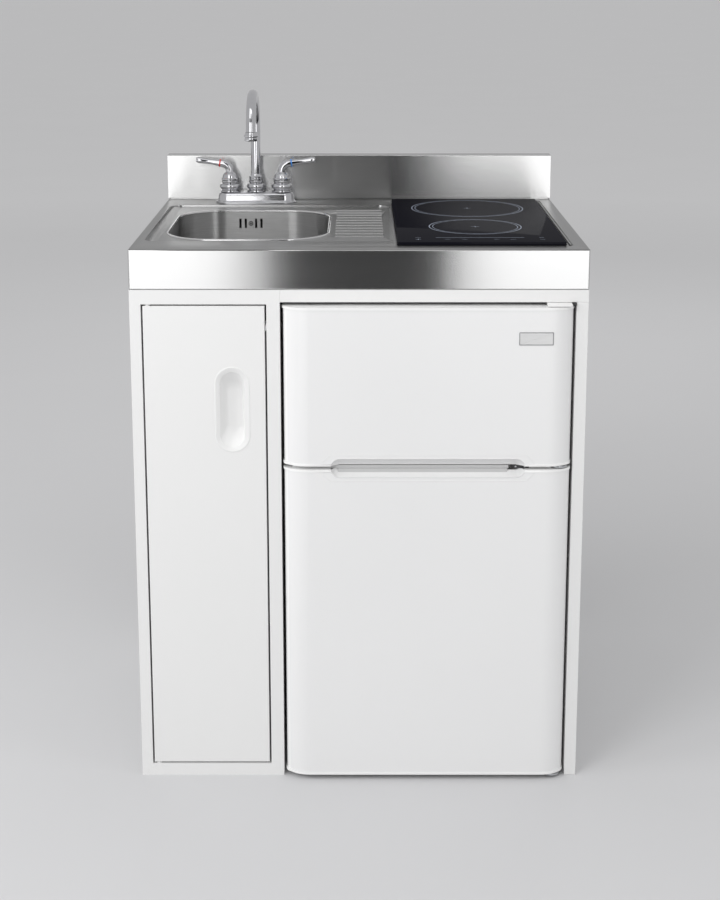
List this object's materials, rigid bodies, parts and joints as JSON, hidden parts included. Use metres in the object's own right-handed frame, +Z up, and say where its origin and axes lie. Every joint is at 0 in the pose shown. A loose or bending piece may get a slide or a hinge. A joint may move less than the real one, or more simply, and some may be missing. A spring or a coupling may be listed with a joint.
{
  "type": "kitchenette unit",
  "caption": "Compact kitchen unit: stainless worktop with sink, drainer, tap and two-zone hob over a narrow cabinet and a fridge-freezer.",
  "frame": {"origin": "on the floor, below the middle of the whole unit's bounding box", "axes": "+X to the right seen from the front, +Y from the doors to the wall, +Z up"},
  "size_m": [0.762, 0.628, 1.1655],
  "materials": {
    "white_board": "satin",
    "carcass_board": "matte",
    "door_paint": "satin",
    "fridge_paint": "gloss",
    "stainless": "satin",
    "bowl_steel": "satin",
    "chrome": "polished",
    "black_glass": "polished",
    "clear_glass": "polished",
    "clear_plastic": "gloss",
    "white_plastic": "gloss",
    "grey_plastic": "satin",
    "black_plastic": "satin",
    "gasket_rubber": "matte",
    "seal_rubber": "matte",
    "foam": "matte",
    "steel_zinc": "satin",
    "black_steel": "satin",
    "copper": "satin",
    "circuit_board": "satin",
    "aluminium_sheet": "satin",
    "badge_metal": "satin",
    "index_red": "gloss",
    "index_blue": "gloss"
  },
  "bodies": {
    "cabinet": {"cabinet_face_frame": "white_board", "left_side_panel": "white_board", "right_side_panel": "white_board", "partition_panel": "white_board", "cabinet_floor": "white_board", "cabinet_back": "carcass_board", "front_top_rail": "white_board", "rear_top_rail": "carcass_board", "door_pivots": "steel_zinc", "magnetic_catch": "white_plastic", "worktop": "stainless", "backsplash": "stainless", "sink_bowl": "bowl_steel", "overflow_pipe": "grey_plastic", "strainer_body": "bowl_steel", "waste_nuts": "white_plastic", "p_trap": "white_plastic", "tap_base": "chrome", "tap_hubs": "chrome", "tap_shanks": "copper", "tap_locknuts": "white_plastic", "hob_glass": "black_glass", "hob_seal": "seal_rubber", "hob_casing": "steel_zinc", "induction_coils": "copper", "coil_tray": "aluminium_sheet", "control_board": "circuit_board", "fan_frame": "black_plastic", "fridge_casing": "fridge_paint", "fridge_insulation": "foam", "fridge_liner": "white_plastic", "fridge_hinges": "steel_zinc", "fridge_feet": "black_plastic", "compressor": "black_steel", "condenser_coil": "black_steel", "glass_shelves": "clear_glass", "freezer_rack": "white_plastic", "thermostat_housing": "white_plastic"},
    "cabinet_door": {"cabinet_door_skin": "door_paint", "cabinet_door_core": "carcass_board", "pull_cup": "white_plastic", "catch_strike": "steel_zinc"},
    "freezer_door": {"freezer_door_skin": "fridge_paint", "freezer_door_inner": "foam", "freezer_gasket": "gasket_rubber", "badge_plate": "badge_metal"},
    "fridge_door": {"fridge_door_skin": "fridge_paint", "fridge_door_inner": "foam", "fridge_gasket": "gasket_rubber", "door_bins": "clear_plastic"},
    "spout": {"spout": "chrome", "aerator": "chrome"},
    "hot_handle": {"hot_handle": "chrome", "index_ring_hot": "index_red"},
    "cold_handle": {"cold_handle": "chrome", "index_ring_cold": "index_blue"},
    "strainer_basket": {"strainer_basket": "bowl_steel"},
    "crisper_drawer": {"crisper_drawer": "clear_plastic"},
    "thermostat_dial": {"thermostat_dial": "grey_plastic"},
    "fan_rotor": {"fan_rotor": "black_plastic"}
  },
  "joints": [
    {"name": "cabinet_door_hinge", "type": "hinge", "parent": "cabinet", "child": "cabinet_door", "pos_m": [-0.3513, -0.291, 0.45], "axis": [0, 0, -1], "range_deg": [0, 110]},
    {"name": "freezer_door_hinge", "type": "hinge", "parent": "cabinet", "child": "freezer_door", "pos_m": [0.3378, -0.294, 0.7], "axis": [0, 0, 1], "range_deg": [0, 105]},
    {"name": "fridge_door_hinge", "type": "hinge", "parent": "cabinet", "child": "fridge_door", "pos_m": [0.3378, -0.294, 0.3], "axis": [0, 0, 1], "range_deg": [0, 105]},
    {"name": "spout_swivel", "type": "hinge", "parent": "cabinet", "child": "spout", "pos_m": [-0.203, 0.243, 1], "axis": [0, 0, 1], "range_deg": [-90, 90]},
    {"name": "hot_handle_turn", "type": "hinge", "parent": "cabinet", "child": "hot_handle", "pos_m": [-0.2538, 0.243, 0.984], "axis": [0, 0, 1], "range_deg": [0, 90]},
    {"name": "cold_handle_turn", "type": "hinge", "parent": "cabinet", "child": "cold_handle", "pos_m": [-0.1522, 0.243, 0.984], "axis": [0, 0, -1], "range_deg": [0, 90]},
    {"name": "strainer_basket_lift", "type": "slide", "parent": "cabinet", "child": "strainer_basket", "axis": [0, 0, 1], "range_m": [0, 0.05]},
    {"name": "crisper_drawer_slide", "type": "slide", "parent": "cabinet", "child": "crisper_drawer", "axis": [0, -1, 0], "range_m": [0, 0.075]},
    {"name": "thermostat_dial_turn", "type": "hinge", "parent": "cabinet", "child": "thermostat_dial", "pos_m": [0.2866, 0.026, 0.49975], "axis": [0, -1, 0], "range_deg": [0, 300]},
    {"name": "hob_fan_spin", "type": "hinge", "parent": "cabinet", "child": "fan_rotor", "pos_m": [0.2755, 0.178, 0.9], "axis": [0, 0, 1], "continuous": true}
  ]
}
